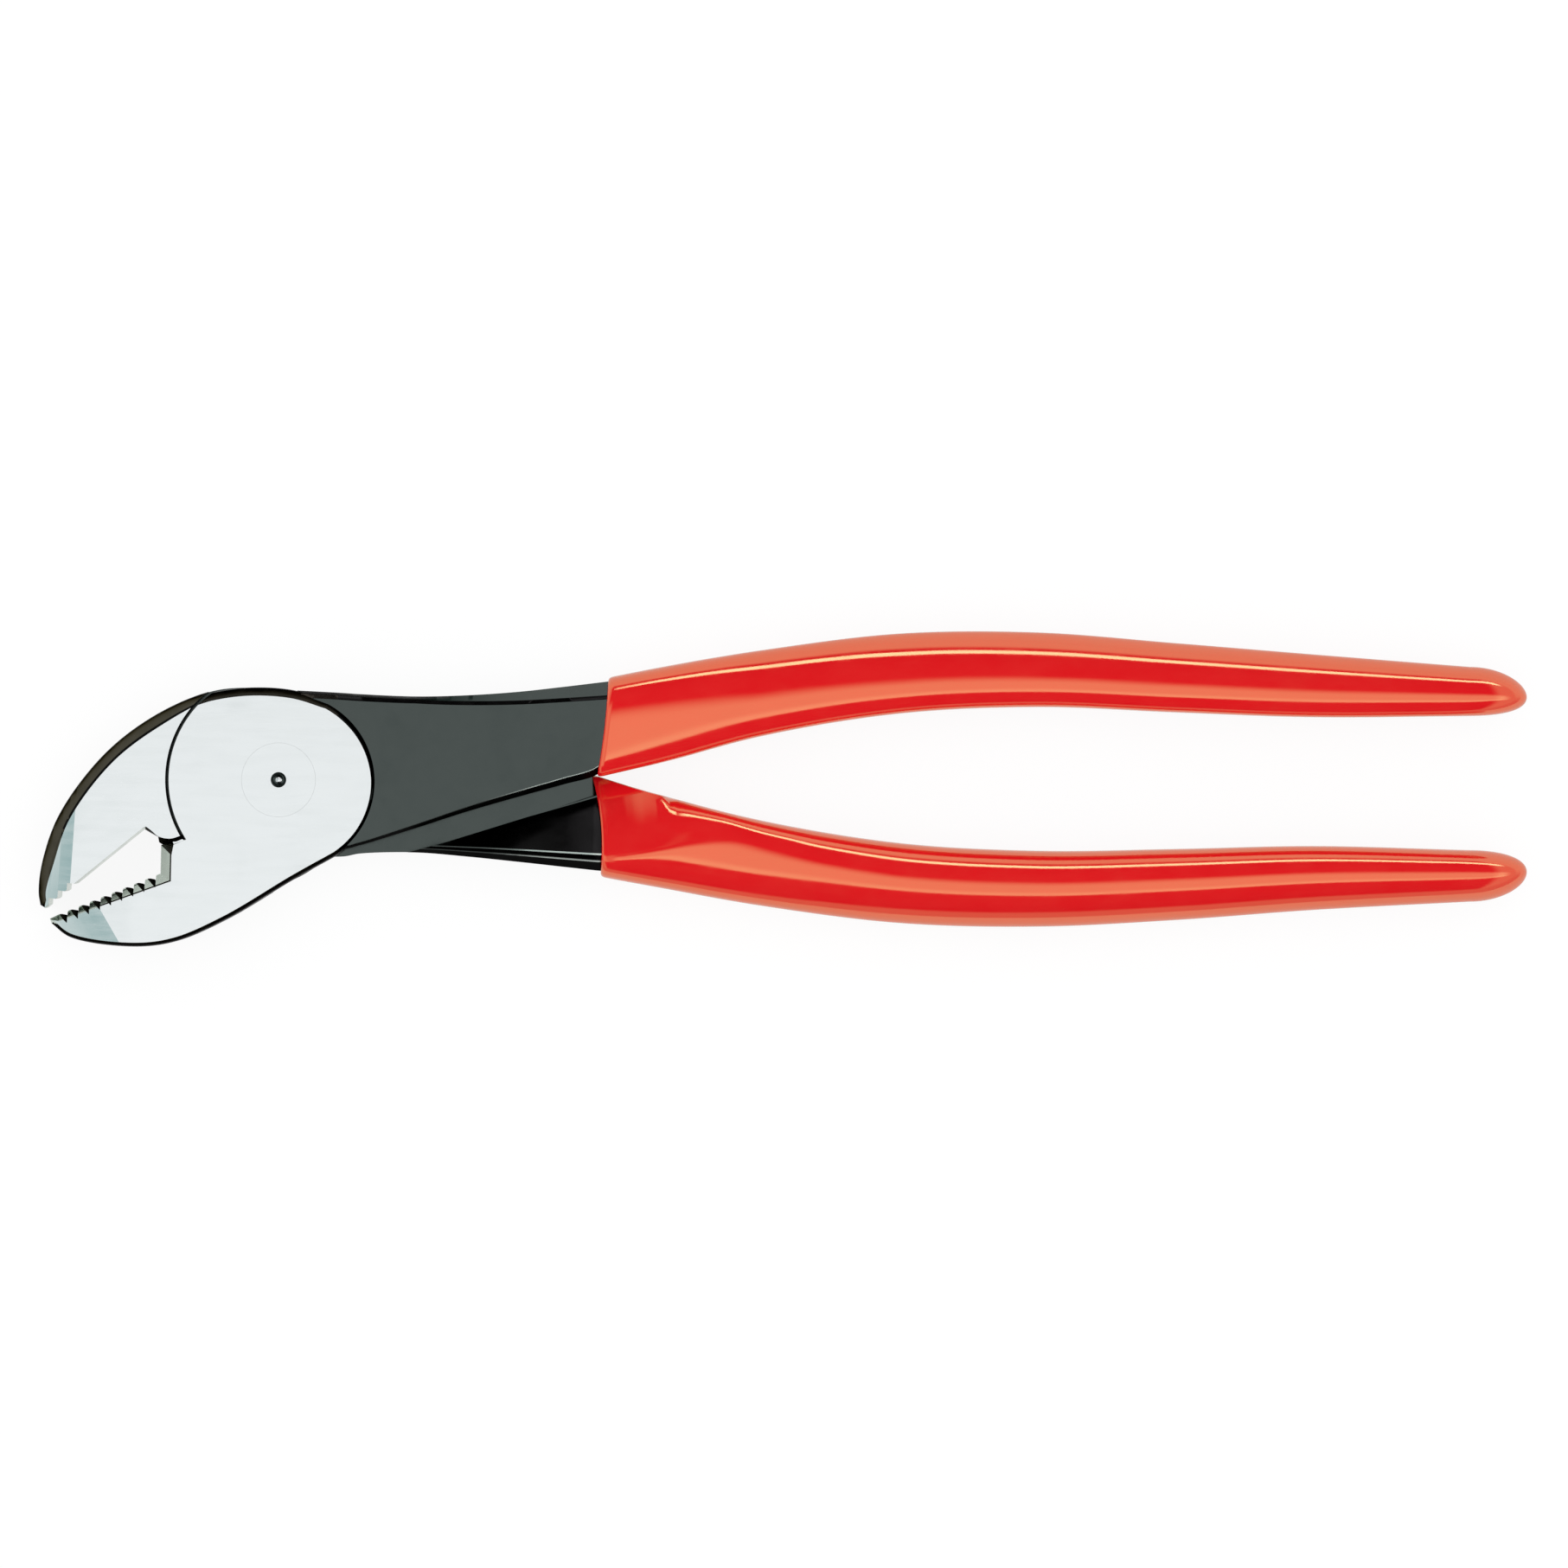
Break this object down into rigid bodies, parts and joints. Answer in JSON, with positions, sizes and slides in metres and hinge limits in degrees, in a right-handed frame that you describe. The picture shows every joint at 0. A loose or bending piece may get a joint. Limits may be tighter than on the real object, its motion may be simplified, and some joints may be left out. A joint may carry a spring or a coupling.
{
  "type": "battery pliers",
  "caption": "Lap-joint battery pliers with an angled toothed nose, a flush rivet, bare steel shanks and dipped handle grips that open and close about the pivot.",
  "frame": {"origin": "on the pivot axis, in the plane of the head's rear face: the middle of the rivet's rear face", "axes": "+X from the pivot towards the handles, +Y across the tool to the upper handle, +Z along the pivot axis to the front face"},
  "size_m": [0.25, 0.053, 0.012],
  "materials": {
    "forged_steel": "black-finished shanks and rims with bright ground faces on the head",
    "polished_steel": "ground flush with the faces and polished",
    "red_vinyl": "glossy dipped vinyl"
  },
  "bodies": {
    "rear_half": {"rear_half": "forged_steel", "pivot_rivet": "polished_steel", "lower_grip": "red_vinyl"},
    "front_half": {"front_half": "forged_steel", "upper_grip": "red_vinyl"}
  },
  "joints": [
    {"name": "jaw_pivot", "type": "hinge", "parent": "rear_half", "child": "front_half", "pos_m": [0, 0, 0.006], "axis": [0, 0, 1], "range_deg": [-2.4, 40]}
  ]
}
